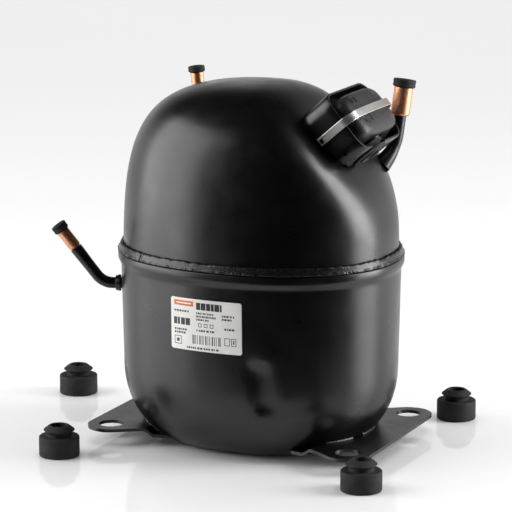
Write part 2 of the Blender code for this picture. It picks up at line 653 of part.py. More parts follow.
def make_rod_and_piston():
    """The rod's frame sits on the wrist pin, turned so that local X points to the crank pin."""
    big = arc((ROD_LENGTH, 0), 15.5, -150, 150, 14)
    small = arc((0, 0), 9.4, 145, 215, 5)
    outline = big + [(12, 5.5)] + small + [(12, -5.5)]
    holes = (arc((ROD_LENGTH, 0), BIG_END_BORE, 0, 345, 23), arc((0, 0), 5.3, 0, 337.5, 15))
    plate("connecting_rod", outline, 11.0, "aluminium", holes=holes, parent=ROD)
    body = ((0, 14), (PISTON_RADIUS, 14), (PISTON_RADIUS, -12), (15, -12), (15, 10), (0, 10))
    piston = turned("piston", body, "aluminium", segments=24, parent=PISTON, turn=(0, -pi / 2, 0))
    for side in (-1, 1):
        boss = cutter(f"wrist_boss_{side}", cylinder("wrist_boss", 8.5, 6.2, 16, 16), parent=PISTON,
                      turn=(0 if side > 0 else pi, 0, 0))
        combine(piston, boss, "UNION")
    combine(piston, cutter("wrist_bore", cylinder("wrist_bore", 5.3, -30, 30, 16), parent=PISTON))
    add("wrist_pin", cylinder("wrist_pin", 5.0, -15.5, 15.5, 16), "ground_steel", parent=PISTON)


def make_valves():
    """From the cylinder outwards: gasket, plate with its two reeds, and the head."""
    face = CYLINDER_END
    square = [(y, z) for y, z in ((-24, -24), (24, -24), (24, 24), (-24, 24))]
    across = {"turn": (pi / 2, 0, pi / 2), "parent": PUMP}
    plate("head_gasket", square, 0.8, "gasket", holes=(arc((0, 0), 19.6, 0, 345, 23),),
          place=(face - 0.4, 0, CYLINDER_Z), **across)
    ports = (arc((-6, 2), 3.4, 0, 330, 11), arc((8, 2), 2.8, 0, 330, 11))
    plate("valve_plate", square, 3.5, "ground_steel", holes=ports,
          place=(face - 2.85, 0, CYLINDER_Z), **across)
    head = box("cylinder_head", (face - 16, -24, -24), (face - 4.9, 24, 24))
    head = add("cylinder_head", head, "cast_iron", parent=PUMP, place=(0, 0, CYLINDER_Z))
    for name, low, high in (("suction_chamber", -20, -2), ("discharge_chamber", 2, 20)):
        chamber = box(name, (face - 12.5, low, -19), (face - 3, high, 19))
        combine(head, cutter(name, chamber, parent=PUMP, place=(0, 0, CYLINDER_Z)))
    leaf = [(-4.6, 0.4), (4.6, 0.4)] + arc((0, 15), 5.2, 0, 180, 6)
    plate("suction_reed", leaf, 0.3, "spring_steel", parent=SUCTION_REED, turn=(pi / 2, 0, pi / 2))
    plate("discharge_reed", leaf, 0.3, "spring_steel", parent=DISCHARGE_REED, turn=(pi / 2, 0, pi / 2))


def make_mufflers():
    low, high = (-70, -56, 168), (-44, -29.5, 214)
    suction = add("suction_muffler", box("suction_muffler", low, high), "moulded_plastic", parent=PUMP)
    rounded(suction, 5, 2)
    dome = ((0, 200), (12, 199), (16.5, 195), (18, 189), (18, 163.4), (0, 163.4))
    turned("discharge_muffler", dome, "cast_iron", segments=20, parent=PUMP, place=(46, 0, 0))
    corners = [(46, 18.5, 190), (46, 62, 190), (-30, 68, 200), (-66, 40, 206), (-68, 38.5, 246)]
    rod("discharge_loop", filleted(corners, 12), 2.6, "copper", resolution=1, parent=PUMP)


# ---------------------------------------------------------------- springs

def make_springs():
    floor = belly_rings(WALL + 1.5 * GAP)
    rings = [(0, 0, floor[0][2])] + floor + [(0, 0, BELLY_RISE)]
    cavity = loft("shell_cavity", rings, SHELL_SEGMENTS)
    cavity = cutter("shell_cavity", cavity)
    steps = 8
    for number, (x, y) in enumerate(CORNERS, 1):
        seat = add(f"spring_seat_{number}", cylinder("spring_seat", 9.0, 1, SEAT_TOP, 18), "black_enamel",
                   place=(x, y, 0))
        combine(seat, cavity, "INTERSECT")
        peg = cutter(f"seat_peg_{number}", cylinder("seat_peg", 6.2, SEAT_TOP - 1, SEAT_TOP + 9, 16, 4.8),
                     place=(x, y, 0))
        combine(seat, peg, "UNION")
        low, high = SEAT_TOP + SPRING_WIRE + GAP, SPRING_TOP - SPRING_WIRE
        count = int(SPRING_TURNS * steps)
        path = []
        for i in range(count + 1):
            angle = 2 * pi * i / steps
            rise = low + (high - low) * i / count
            path.append((SPRING_RADIUS * cos(angle), SPRING_RADIUS * sin(angle), rise))
        rod(f"suspension_spring_{number}", path, SPRING_WIRE, "spring_steel", place=(x, y, 0))


# ---------------------------------------------------------------- frames on the joints' axes

CLIP_PIVOT_V, CLIP_PIVOT_W = 40.6, 2.0
REED_ROOT_Z = CYLINDER_Z - 13.0
SEAT_FRAME = axis_empty("terminal_seat", SEAT_CENTRE, (0, SEAT_TILT, 0))
COVER_FRAME = axis_empty("cover_lift", (0, 0, 0), parent=SEAT_FRAME)
CLIP_FRAME = axis_empty("clip_swing", (0, -CLIP_PIVOT_V, CLIP_PIVOT_W), parent=COVER_FRAME)
PUMP = axis_empty("pump_bounce", (0, 0, 0))
CRANK = axis_empty("crank_turn", (0, 0, 0), parent=PUMP)
PISTON = axis_empty("piston_slide", (WRIST_X, 0, CYLINDER_Z), parent=PUMP)
ROD = axis_empty("rod_swing", (0, 0, 0), (0, 0, atan2(CRANK_PIN.y, CRANK_PIN.x - WRIST_X)), parent=PISTON)
SUCTION_REED = axis_empty("suction_reed_bend", (CYLINDER_END - 0.65, -6, REED_ROOT_Z), parent=PUMP)
DISCHARGE_REED = axis_empty("discharge_reed_bend", (CYLINDER_END - 5.1, 8, REED_ROOT_Z), parent=PUMP)
CORNERS = [(sx * BOLT_X, sy * BOLT_Y) for sx in (-1, 1) for sy in (-1, 1)]
BOLT_HOLES = [cutter(f"bolt_hole_{n}", cylinder("bolt_hole", BOLT_RADIUS + 0.4, 60, 152, 12), parent=PUMP,
                     place=(x, y, 0)) for n, (x, y) in enumerate(CORNERS, 1)]

make_lower_shell()
make_upper_shell()
make_girth_weld()
make_feet()
make_rubber_mounts()
make_tubes()
make_fence()
make_cover()
make_clip()
make_gland()
make_terminal()
make_label()
make_motor()
make_cylinder_block()
make_crank()
make_rod_and_piston()
make_valves()
make_mufflers()
make_springs()
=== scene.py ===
"""Looks of the hermetic reciprocating compressor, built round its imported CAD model.

Lengths are millimetres; placed() turns them into the frame's metres. Every mesh is made where it
stands in the CAD's frame: origin at the centre of the flat belly, +X to the terminal box, -Y to the
label, +Z up.
"""
import json
from math import cos, hypot, pi, radians, sin
from random import Random

import bmesh
import bpy
from mathutils import Matrix, Vector, noise


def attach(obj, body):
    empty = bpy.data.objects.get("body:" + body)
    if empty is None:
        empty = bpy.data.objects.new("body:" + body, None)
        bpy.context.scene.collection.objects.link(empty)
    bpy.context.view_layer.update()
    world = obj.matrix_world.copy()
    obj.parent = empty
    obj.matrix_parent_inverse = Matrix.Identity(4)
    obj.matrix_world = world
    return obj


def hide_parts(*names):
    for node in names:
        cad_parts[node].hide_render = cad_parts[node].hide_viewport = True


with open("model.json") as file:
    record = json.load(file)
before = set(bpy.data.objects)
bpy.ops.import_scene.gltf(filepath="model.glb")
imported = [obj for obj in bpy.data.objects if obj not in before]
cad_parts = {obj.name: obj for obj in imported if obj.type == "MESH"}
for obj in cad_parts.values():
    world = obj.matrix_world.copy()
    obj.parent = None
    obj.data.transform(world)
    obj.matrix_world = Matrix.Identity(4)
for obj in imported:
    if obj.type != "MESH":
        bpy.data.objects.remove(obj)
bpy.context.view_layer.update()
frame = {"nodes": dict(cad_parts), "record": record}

NODES = frame["nodes"]
MM = 0.001
GAP = 0.3                       # room between pieces that touch

# Shell
PLAN_EXPONENT, PLAN_DIFFERENCE = 2.2, 19.5
WALL, HALF_X, LOWER_FLARE = 3.0, 109.0, 0.02
BELLY_RISE, BELLY_FLAT = 58.0, 0.58
LIP_START, LIP_TOP, LIP_HALF_X, UPPER_EDGE = 138.0, 150.0, 113.0, 141.5
DOME_TOP, DOME_BASE, DOME_EXPONENT, DOME_BIAS = 284.0, 98.0, 4.49, -0.404
SIDES = 240                     # points round each shell section

# Terminal seat: local X down the slope, local Y along the CAD's Y, local Z out of the seat
SEAT_TILT = radians(49.0)
SEAT_CENTRE = Vector((66.0, 0.0, 245.4))
SEAT_NORMAL = Vector((sin(SEAT_TILT), 0.0, cos(SEAT_TILT)))
SEAT_BLEND = 22.0
SEAT = Matrix.Translation(SEAT_CENTRE) @ Matrix.Rotation(SEAT_TILT, 4, "Y")
FENCE_HALF, FENCE_WALL, FENCE_HEIGHT, FENCE_CORNER = (25.8, 39.4), 1.8, 27.0, 12.0
COVER_HALF, CROWN_HALF = (22.8, 36.8), (19.4, 34.4)     # the cover's skirt, and its crown above it
CROWN = ((0.0, 36.6), (0.25, 36.55), (0.45, 36.35), (0.62, 36.0), (0.75, 35.4), (0.85, 34.5),
         (0.92, 33.2), (0.965, 31.4), (0.99, 29.4), (1.0, 27.0))    # share of the crown, height
GLAND_SIDE, GLAND_HEIGHT = -10.5, 15.5
SPOUT_RADIUS, SPOUT_HEIGHT = 6.8, 20.0

SPOUT_INNER_END = 16.0 + GAP    # clear of the terminal block
NOTCH_RADIUS, GLAND_ROOM = 12.4, 15.6                   # cut for the grommet from fence and cover
COVER_EXPONENT = 4.5

# Pressed pocket on the front of the lower shell: a slanted left edge, then width, height and depth
POCKET_LEFT, POCKET_SLANT, POCKET_MIDDLE = 29.0, 0.14, 62.0
POCKET_WIDTH, POCKET_LOW, POCKET_HIGH, POCKET_DEPTH = 26.0, 37.0, 87.0, 3.6
PUNCH_MARKS, PUNCH_RADIUS, PUNCH_DEPTH = ((-58.0, 33.0), (66.0, 30.0)), 9.0, 1.0

# Feet and rubber mounts
FOOT_THICKNESS, FOOT_UNDERSIDE, FOOT_STEP = 2.5, 11.4, 4.6
FOOT_CORNER, FOOT_BEND, FOOT_BEND_LENGTH = 18.4, 71.5, 8.8
HOLE_X, HOLE_Y, HOLE_RADIUS = 100.7, 62.4, 9.7
MOUNT_PLACES = ((-193.2, 57.7), (-118.6, -115.6), (130.0, -105.7), (122.2, 113.0))


# ---------------------------------------------------------------- materials

def shader_of(name):
    """New material with its node tree and its shader."""
    made = bpy.data.materials.new(name)
    made.use_nodes = True
    return made, made.node_tree, made.node_tree.nodes["Principled BSDF"]


def noise_node(tree, scale, detail, stretch):
    """Noise over the piece's own coordinates, in metres."""
    place = tree.nodes.new("ShaderNodeTexCoord")
    mapping = tree.nodes.new("ShaderNodeMapping")
    mapping.inputs["Scale"].default_value = stretch
    texture = tree.nodes.new("ShaderNodeTexNoise")
    texture.inputs["Scale"].default_value = scale
    texture.inputs["Detail"].default_value = detail
    tree.links.new(place.outputs["Object"], mapping.inputs["Vector"])
    tree.links.new(mapping.outputs["Vector"], texture.inputs["Vector"])
    return texture.outputs["Fac"]


def finish(name, dark, light, rough, metallic=0.0, cloud=60.0, grain=900.0, relief=0.00002,
           stretch=(1, 1, 1), specular=0.5, coat=0.0, lines=None):
    """Two tones mottled together, uneven roughness, and a fine relief, all from noise.

    cloud and grain are features per metre; lines is (direction, per metre, depth) of fine layers.
    """
    made, tree, shader = shader_of(name)
    tones = tree.nodes.new("ShaderNodeValToRGB")
    tones.color_ramp.elements[0].position, tones.color_ramp.elements[1].position = 0.32, 0.68
    tones.color_ramp.elements[0].color = (*dark, 1)
    tones.color_ramp.elements[1].color = (*light, 1)
    tree.links.new(noise_node(tree, cloud, 5.0, stretch), tones.inputs["Fac"])
    tree.links.new(tones.outputs["Color"], shader.inputs["Base Color"])
    uneven = tree.nodes.new("ShaderNodeMapRange")
    uneven.inputs["From Min"].default_value, uneven.inputs["From Max"].default_value = 0.3, 0.7
    uneven.inputs["To Min"].default_value, uneven.inputs["To Max"].default_value = rough
    tree.links.new(noise_node(tree, cloud * 2.7, 3.0, stretch), uneven.inputs["Value"])
    tree.links.new(uneven.outputs["Result"], shader.inputs["Roughness"])
    bump = tree.nodes.new("ShaderNodeBump")
    bump.inputs["Distance"].default_value = relief
    height = noise_node(tree, grain, 2.0, stretch)
    if lines:
        direction, per_metre, depth = lines
        layer = tree.nodes.new("ShaderNodeTexWave")
        layer.bands_direction = direction
        layer.inputs["Scale"].default_value = per_metre
        place = tree.nodes.new("ShaderNodeTexCoord")
        tree.links.new(place.outputs["Object"], layer.inputs["Vector"])
        mixed = tree.nodes.new("ShaderNodeMath")
        mixed.operation = "MULTIPLY_ADD"
        mixed.inputs[1].default_value = depth
        tree.links.new(layer.outputs["Fac"], mixed.inputs[0])
        tree.links.new(height, mixed.inputs[2])
        height = mixed.outputs["Value"]
    tree.links.new(height, bump.inputs["Height"])
    tree.links.new(bump.outputs["Normal"], shader.inputs["Normal"])
    shader.inputs["Metallic"].default_value = metallic
    shader.inputs["Specular IOR Level"].default_value = specular
    shader.inputs["Coat Weight"].default_value = coat
    shader.inputs["Coat Roughness"].default_value = 0.12
    return made


ALONG_Y, ALONG_Z = (1, 0.04, 1), (1, 1, 0.04)
FINISH = {
    "black_enamel": finish("satin_enamel", (0.0016, 0.0016, 0.0018), (0.0030, 0.0030, 0.0032),
                           (0.27, 0.35), cloud=22, grain=700, relief=0.000010, specular=0.5),
    "weld_enamel": finish("enamel_on_weld", (0.003, 0.003, 0.0033), (0.008, 0.008, 0.0085),
                          (0.22, 0.42), cloud=300, grain=1500, relief=0.00005),
    "copper": finish("bare_copper", (0.60, 0.25, 0.13), (0.85, 0.42, 0.26), (0.35, 0.5), 1.0,
                     cloud=500, grain=1400, relief=0.00002),
    "rubber": finish("moulded_rubber", (0.008, 0.008, 0.0085), (0.017, 0.017, 0.018), (0.62, 0.82),
                     cloud=90, grain=2600, relief=0.00005, specular=0.35),
    "moulded_plastic": finish("moulded_plastic", (0.012, 0.0122, 0.0128), (0.02, 0.0203, 0.021),
                              (0.36, 0.5), cloud=70, grain=3200, relief=0.00003, specular=0.45),
    "spring_steel": finish("rolled_spring_steel", (0.60, 0.59, 0.57), (0.70, 0.69, 0.67), (0.36, 0.42),
                           1.0, cloud=90, grain=1800, relief=0.000001, stretch=ALONG_Y),
    "cast_iron": finish("cast_iron", (0.07, 0.071, 0.074), (0.16, 0.162, 0.166), (0.5, 0.72), 0.7,
                        cloud=120, grain=1300, relief=0.00016),
    "lamination": finish("stacked_steel", (0.20, 0.205, 0.215), (0.34, 0.345, 0.36), (0.35, 0.5), 0.9,
                         cloud=150, grain=900, lines=("Z", 640.0, 1.4), relief=0.00008),
    "enamelled_wire": finish("varnished_winding", (0.24, 0.055, 0.014), (0.50, 0.15, 0.04),
                             (0.22, 0.4), 0.6, cloud=140, grain=260, relief=0.0007, coat=0.4),
    "aluminium": finish("cast_aluminium", (0.50, 0.505, 0.515), (0.70, 0.705, 0.72), (0.32, 0.46), 1.0,
                        cloud=110, grain=1500, relief=0.00004),
    "ground_steel": finish("ground_steel", (0.40, 0.405, 0.415), (0.60, 0.605, 0.62), (0.16, 0.3), 1.0,
                           cloud=260, grain=2200, relief=0.000015, stretch=ALONG_Z),
    "gasket": finish("fibre_gasket", (0.05, 0.075, 0.06), (0.10, 0.135, 0.11), (0.75, 0.9),
                     cloud=400, grain=2600, relief=0.0001),
    "label_paper": finish("label_film", (0.80, 0.79, 0.765), (0.90, 0.89, 0.865), (0.3, 0.42),
                          cloud=50, grain=1200, relief=0.00001, coat=0.3),
    "label_dark": finish("label_ink", (0.016, 0.016, 0.018), (0.035, 0.035, 0.038), (0.35, 0.45),
                         cloud=200, grain=1200, relief=0.00001),
    "label_orange": finish("label_colour", (0.72, 0.13, 0.016), (0.86, 0.2, 0.03), (0.35, 0.45),
                           cloud=200, grain=1200, relief=0.00001),
}


# ---------------------------------------------------------------- mesh helpers

def skin(rows, wrap=False):
    """bmesh through rows of points, each a closed loop or one point; wrap joins last to first."""
    bm = bmesh.new()
    made = [[bm.verts.new(Vector(point)) for point in row] for row in rows]
    pairs = list(zip(made, made[1:])) + ([(made[-1], made[0])] if wrap else [])
    for one, two in pairs:
        count = max(len(one), len(two))
        for i in range(count):
            j = (i + 1) % count
            corners = [one[i % len(one)], one[j % len(one)], two[j % len(two)], two[i % len(two)]]
            bm.faces.new(list(dict.fromkeys(corners)))
    return bm


def placed(name, bm, finishes, body, replaced=(), matrix=None, sharp=38.0, bevel=0.0):
    """A finished piece: its millimetre mesh put in place, shaded, coloured and joined to its body."""
    bmesh.ops.recalc_face_normals(bm, faces=bm.faces)
    bmesh.ops.transform(bm, matrix=Matrix.Scale(MM, 4) @ (matrix or Matrix()), verts=bm.verts)
    mesh = bpy.data.meshes.new(name)
    bm.to_mesh(mesh)
    bm.free()
    mesh.shade_smooth()
    mesh.set_sharp_from_angle(angle=radians(sharp))
    thing = bpy.data.objects.new(name, mesh)
    bpy.context.scene.collection.objects.link(thing)
    for each in ([finishes] if isinstance(finishes, str) else finishes):
        mesh.materials.append(FINISH[each])
    if bevel:
        edges = thing.modifiers.new("edges", "BEVEL")
        edges.width, edges.segments = bevel * MM, 3
        edges.limit_method, edges.angle_limit = "ANGLE", radians(40)
    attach(thing, body)
    if replaced:
        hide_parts(*replaced)
    return thing


def carved(bm, tools, matrix=None):
    """The mesh less each tool's mesh, both in millimetres; matrix moves it into the tools' frame."""
    def as_object(name, piece):
        bmesh.ops.recalc_face_normals(piece, faces=piece.faces)
        mesh = bpy.data.meshes.new(name)
        piece.to_mesh(mesh)
        piece.free()
        thing = bpy.data.objects.new(name, mesh)
        bpy.context.scene.collection.objects.link(thing)
        return thing
    if matrix:
        bmesh.ops.transform(bm, matrix=matrix, verts=bm.verts)
    thing = as_object("blank", bm)
    things = [as_object("tool", tool) for tool in tools]
    for tool in things:
        step = thing.modifiers.new("cut", "BOOLEAN")
        step.operation, step.solver, step.object = "DIFFERENCE", "EXACT", tool
    bpy.context.view_layer.update()
    result = bmesh.new()
    result.from_object(thing, bpy.context.evaluated_depsgraph_get())
    for old in (thing, *things):
        mesh = old.data
        bpy.data.objects.remove(old)
        bpy.data.meshes.remove(mesh)
    return result


def soften(points, reach, closed=False, steps=4):
    """The polyline with each corner turned into a short curve that starts this far from it."""
    result = [] if closed else [Vector(points[0])]
    count = len(points)
    for i in range(0 if closed else 1, count if closed else count - 1):
        before, corner, after = (Vector(points[k % count]) for k in (i - 1, i, i + 1))
        start = corner + (before - corner) * min(reach / (before - corner).length, 0.45)
        end = corner + (after - corner) * min(reach / (after - corner).length, 0.45)
        for k in range(steps + 1):
            t = k / steps
            result.append(start * (1 - t) ** 2 + corner * 2 * t * (1 - t) + end * t * t)
    return result if closed else result + [Vector(points[-1])]


def turned(profile, sides=64, closed=False):
    """Solid of revolution about Z from a profile of (radius, z)."""
    rows = []
    for r, z in profile:
        if r < 1e-6:
            rows.append([(0, 0, z)])
        else:
            angles = [2 * pi * i / sides for i in range(sides)]
            rows.append([(r * cos(angle), r * sin(angle), z) for angle in angles])
    return skin(rows, wrap=closed)


def swept(path, radii, sides=36):
    """Round bar with closed ends along a path, with a radius at each point."""
    rows = [[path[0]]]
    side = (path[1] - path[0]).orthogonal().normalized()
    for i, at in enumerate(path):
        ahead = (path[min(i + 1, len(path) - 1)] - path[max(i - 1, 0)]).normalized()
        side = (side - ahead * side.dot(ahead)).normalized()
        other = ahead.cross(side)
        rows.append([at + (side * cos(2 * pi * k / sides) + other * sin(2 * pi * k / sides)) * radii[i]
                     for k in range(sides)])
    return skin(rows + [[path[-1]]])


def filleted(corners, radius, steps=12):
    """Points of straight runs joined by arcs of one bend radius, from the first corner to the last."""
    path = [Vector(corners[0])]
    for before, corner, after in zip(corners, corners[1:], corners[2:]):
        corner = Vector(corner)
        back, ahead = (Vector(before) - corner).normalized(), (Vector(after) - corner).normalized()
        half = back.angle(ahead) / 2
        reach = radius * cos(half) / sin(half)
        centre = corner + (back + ahead).normalized() * (radius / sin(half))
        start, end = corner + back * reach - centre, corner + ahead * reach - centre
        axis, angle = start.rotation_difference(end).to_axis_angle()
        path += [centre + Matrix.Rotation(angle * i / steps, 3, axis) @ start for i in range(steps + 1)]
    return path + [Vector(corners[-1])]


def aimed(place, direction):
    """Matrix that takes the local origin to a place and local Z to a direction."""
    turn = Vector((0, 0, 1)).rotation_difference(Vector(direction))
    return Matrix.Translation(place) @ turn.to_matrix().to_4x4()


def plan(half_x, half_y, angle, exponent=PLAN_EXPONENT):
    """Point of a superellipse at an angle."""
    c, s = cos(angle), sin(angle)
    return (half_x * abs(c) ** (2 / exponent) * (1 if c >= 0 else -1),
            half_y * abs(s) ** (2 / exponent) * (1 if s >= 0 else -1))


def section(half_x, half_y, z, sides=SIDES, exponent=PLAN_EXPONENT):
    """Superellipse loop at height z."""
    return [Vector((*plan(half_x, half_y, 2 * pi * i / sides, exponent), z)) for i in range(sides)]


def ease(t):
    """0 to 1 with flat ends."""
    t = min(max(t, 0.0), 1.0)
    return t * t * (3 - 2 * t)


def block(low, high):
    """Plain box used only as a cutting tool."""
    bm = bmesh.new()
    middle, size = (Vector(low) + Vector(high)) / 2, Vector(high) - Vector(low)
    bmesh.ops.create_cube(bm, size=1.0, matrix=Matrix.Translation(middle) @ Matrix.Diagonal((*size, 1)))
    return bm


# ---------------------------------------------------------------- shell

def wall_ring(z, inset=0.0):
    """Half widths and height of the lower shell's straight wall."""
    half_x = HALF_X + LOWER_FLARE * (z - BELLY_RISE) - inset
    return half_x, half_x - PLAN_DIFFERENCE, z


def belly_ring(angle, inset=0.0):
    """Ring of the rounded rim; 90 degrees is the flat belly's edge and 0 the wall."""
    half_x, half_y, _ = wall_ring(BELLY_RISE * (1 - sin(angle)))
    share = BELLY_FLAT + (1 - BELLY_FLAT) * cos(angle)
    z = BELLY_RISE * (1 - sin(angle)) + inset * sin(angle)
    return half_x * share - inset * cos(angle), half_y * share - inset * cos(angle), z


def dome_ring(share, inset=0.0):
    """Half widths and height of the dome where it has this share of the full plan."""
    reach = ((share - DOME_BIAS) / (1 - DOME_BIAS)) ** DOME_EXPONENT
    z = DOME_BASE + (DOME_TOP - DOME_BASE - inset) * (1 - reach) ** (1 / DOME_EXPONENT)
    return (HALF_X - inset) * share, (HALF_X - PLAN_DIFFERENCE - inset) * share, z


def dome_share(z):
    """Share of the full plan that the dome has at height z."""
    reach = 1 - ((z - DOME_BASE) / (DOME_TOP - DOME_BASE)) ** DOME_EXPONENT
    return (1 - DOME_BIAS) * reach ** (1 / DOME_EXPONENT) + DOME_BIAS


def pressed(point, inset=0.0):
    """The point brought back to the seat's plane if it stands beyond it, with a soft edge."""
    beyond = SEAT_NORMAL.dot(point) - SEAT_NORMAL.dot(SEAT_CENTRE) + inset
    mix = min(max(0.5 - 0.5 * beyond / SEAT_BLEND, 0.0), 1.0)
    kept = beyond * mix - SEAT_BLEND * mix * (1 - mix)
    return point + SEAT_NORMAL * (kept - beyond)


def dimpled(point):
    """The drawn wall's marks: a pressed pocket on the front and the punch marks over the feet."""
    if point.y >= 0:
        return point
    left = POCKET_LEFT - POCKET_SLANT * (point.z - POCKET_MIDDLE)
    across = ease((point.x - left) / 4.0) * ease((left + POCKET_WIDTH - point.x) / 19.0)
    up = ease((point.z - POCKET_LOW) / 12.0) * ease((POCKET_HIGH - point.z) / 13.0)
    point.y += POCKET_DEPTH * across * up
    for x, z in PUNCH_MARKS:
        away = hypot(point.x - x, point.z - z) / PUNCH_RADIUS
        point.y += PUNCH_DEPTH * ease(1.0 - away)
    return point


def make_lower_shell():
    outer = [belly_ring(radians(90 - 4.5 * i)) for i in range(20)] + [wall_ring(BELLY_RISE)]
    outer += [wall_ring(BELLY_RISE + 4 * i) for i in range(1, 20)] + [wall_ring(LIP_START - 2)]
    for i in range(7):
        t = i / 6
        half_x = wall_ring(LIP_START)[0] + (LIP_HALF_X - wall_ring(LIP_START)[0]) * ease(t)
        outer.append((half_x, half_x - PLAN_DIFFERENCE, LIP_START + 7.5 * t))
    lip = LIP_HALF_X - PLAN_DIFFERENCE
    outer += [(LIP_HALF_X, lip, LIP_TOP - 1.0), (LIP_HALF_X - 0.3, lip - 0.3, LIP_TOP - 0.3),
              (LIP_HALF_X - 1.0, lip - 1.0, LIP_TOP)]
    mouth = HALF_X + GAP
    step = [(mouth, mouth - PLAN_DIFFERENCE, LIP_TOP), (mouth, mouth - PLAN_DIFFERENCE, UPPER_EDGE - GAP)]
    inner = [wall_ring(UPPER_EDGE - GAP, WALL), wall_ring(BELLY_RISE, WALL)]
    inner += [belly_ring(radians(9 * i), WALL) for i in range(1, 11)]
    rows = [[(0, 0, 0)]] + [[dimpled(p) for p in section(*ring)] for ring in outer]
    rows += [section(*ring) for ring in step] + [[dimpled(p) for p in section(*ring)] for ring in inner]
    placed("lower_shell_skin", skin(rows + [[(0, 0, WALL)]]), "black_enamel", "housing",
           ("lower_shell",), sharp=50)


def make_upper_shell():
    heights = [UPPER_EDGE + 3.5 * i for i in range(34)]
    last = dome_share(heights[-1])
    outer = [dome_ring(dome_share(z)) for z in heights]
    outer += [dome_ring(last * cos(pi / 2 * i / 22)) for i in range(1, 22)]
    inner = [(HALF_X - WALL, HALF_X - PLAN_DIFFERENCE - WALL, UPPER_EDGE)]
    inner += [dome_ring(s, WALL) for s in (0.995, 0.98, 0.95, 0.9, 0.82, 0.7, 0.55, 0.35, 0.15)]
    rows = [[pressed(p) for p in section(*ring)] for ring in outer]
    rows += [[pressed(Vector((0, 0, DOME_TOP)))]]
    inside = [[pressed(p, WALL) for p in section(*ring)] for ring in inner]
    inside += [[pressed(Vector((0, 0, DOME_TOP - WALL)), WALL)]]
    placed("upper_shell_skin", skin(rows[::-1] + inside), "black_enamel", "housing",
           ("upper_shell",), sharp=60)


def make_girth_weld():
    """Weld bead with a smooth hollow middle and ragged edges, stopped once on the front left."""
    sides, rows = 1100, []
    stop_angle, stop_width, stop_depth = radians(236), radians(1.3), 1.1
    inside = HALF_X + GAP
    profile = [(inside, 156.3, 0.0), (109.8, 156.6, 0.7), (110.5, 156.4, 0.7), (111.0, 155.9, 0.5),
               (111.4, 155.1, 0.15), (111.7, 154.2, 0.05), (112.1, 153.0, 0.05), (112.5, 152.1, 0.15),
               (112.9, 151.6, 0.6), (113.2, 151.1, 0.8), (112.9, 150.6, 0.8), (111.8, LIP_TOP + 0.2, 0.0),
               (inside, LIP_TOP + 0.2, 0.0)]
    for number, (r, z, ragged) in enumerate(profile):
        row = []
        for i in range(sides):
            angle = 2 * pi * i / sides
            x, y = plan(r, r - PLAN_DIFFERENCE, angle)
            outward = Vector((x / r**2, y / (r - PLAN_DIFFERENCE) ** 2, 0)).normalized()
            turn = Vector((cos(angle), sin(angle), 0))
            fine = noise.noise(turn * 150 + Vector((0, 0, number * 0.45)))
            broad = noise.noise(turn * 22 + Vector((0, 0, 5 + number * 0.1)))
            stop = -stop_depth * ease(1 - abs(angle - stop_angle) / stop_width)
            out = ragged * (0.55 * fine + 0.5 * broad) + (stop if ragged else 0.0)
            rise = ragged * (0.8 * broad + 0.35 * fine)
            row.append(Vector((x, y, z + rise)) + outward * min(out, LIP_HALF_X + 0.4 - r))
        rows.append(row)
    placed("girth_weld_bead", skin(rows, wrap=True), "weld_enamel", "housing",
           ("girth_weld",), sharp=60)


# ---------------------------------------------------------------- feet and rubber mounts

def arc(centre, radius, start, stop, steps):
    """Points (x, y) of an arc between two angles in degrees."""
    angles = [radians(start + (stop - start) * i / steps) for i in range(steps + 1)]
    return [(centre[0] + radius * cos(a), centre[1] + radius * sin(a)) for a in angles]


def filled(outline, holes, thickness):
    """Flat plate from its outline and holes, centred on Z 0."""
    curve = bpy.data.curves.new("outline", "CURVE")
    curve.dimensions, curve.fill_mode, curve.extrude = "2D", "BOTH", thickness / 2
    for loop in (outline, *holes):
        spline = curve.splines.new("POLY")
        spline.points.add(len(loop) - 1)
        for point, at in zip(spline.points, loop):
            point.co = (at[0], at[1], 0, 1)
        spline.use_cyclic_u = True
    thing = bpy.data.objects.new("outline", curve)
    bpy.context.scene.collection.objects.link(thing)
    bpy.context.view_layer.update()
    mesh = bpy.data.meshes.new_from_object(thing.evaluated_get(bpy.context.evaluated_depsgraph_get()))
    bm = bmesh.new()
    bm.from_mesh(mesh)
    bpy.data.objects.remove(thing)
    bpy.data.curves.remove(curve)
    bpy.data.meshes.remove(mesh)
    bmesh.ops.remove_doubles(bm, verts=bm.verts, dist=0.005)
    bmesh.ops.recalc_face_normals(bm, faces=bm.faces)
    return bm


